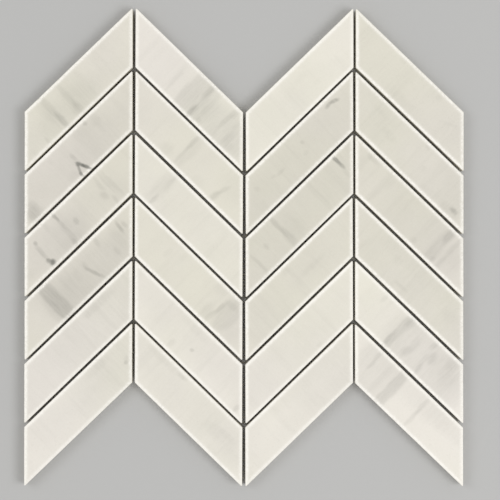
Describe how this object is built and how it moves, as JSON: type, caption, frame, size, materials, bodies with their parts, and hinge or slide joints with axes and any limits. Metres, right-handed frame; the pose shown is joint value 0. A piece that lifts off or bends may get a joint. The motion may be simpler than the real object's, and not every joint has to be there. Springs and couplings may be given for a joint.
{
  "type": "chevron marble mosaic tile sheet",
  "caption": "Sheet of slanted white marble chips in upright columns that lean by turns, so the rows run as a zigzag, glued face up on a glass-fibre net.",
  "frame": {"origin": "on the underside of the net, below the middle of the sheet", "axes": "+X across the columns, +Y up the columns, the way the middle notch opens, and +Z out of the polished face"},
  "size_m": [0.2784, 0.3024, 0.01],
  "materials": {
    "marble_white": "honed white marble, the palest of the chips",
    "marble_cream": "honed creamy white marble with faint grey streaks",
    "marble_grey": "honed white marble clouded with grey",
    "glass_fibre": "resin-coated glass-fibre thread"
  },
  "bodies": {
    "root": {"chip_a1": "marble_cream", "chip_a2": "marble_grey", "chip_a3": "marble_grey", "chip_a4": "marble_grey", "chip_a5": "marble_white", "chip_a6": "marble_white", "chip_b1": "marble_white", "chip_b2": "marble_cream", "chip_b3": "marble_white", "chip_b4": "marble_cream", "chip_b5": "marble_white", "chip_b6": "marble_white", "chip_c1": "marble_white", "chip_c2": "marble_grey", "chip_c3": "marble_grey", "chip_c4": "marble_cream", "chip_c5": "marble_white", "chip_c6": "marble_white", "chip_d1": "marble_cream", "chip_d2": "marble_cream", "chip_d3": "marble_grey", "chip_d4": "marble_cream", "chip_d5": "marble_white", "chip_d6": "marble_white", "mesh_weft": "glass_fibre", "mesh_warp": "glass_fibre"}
  },
  "joints": []
}
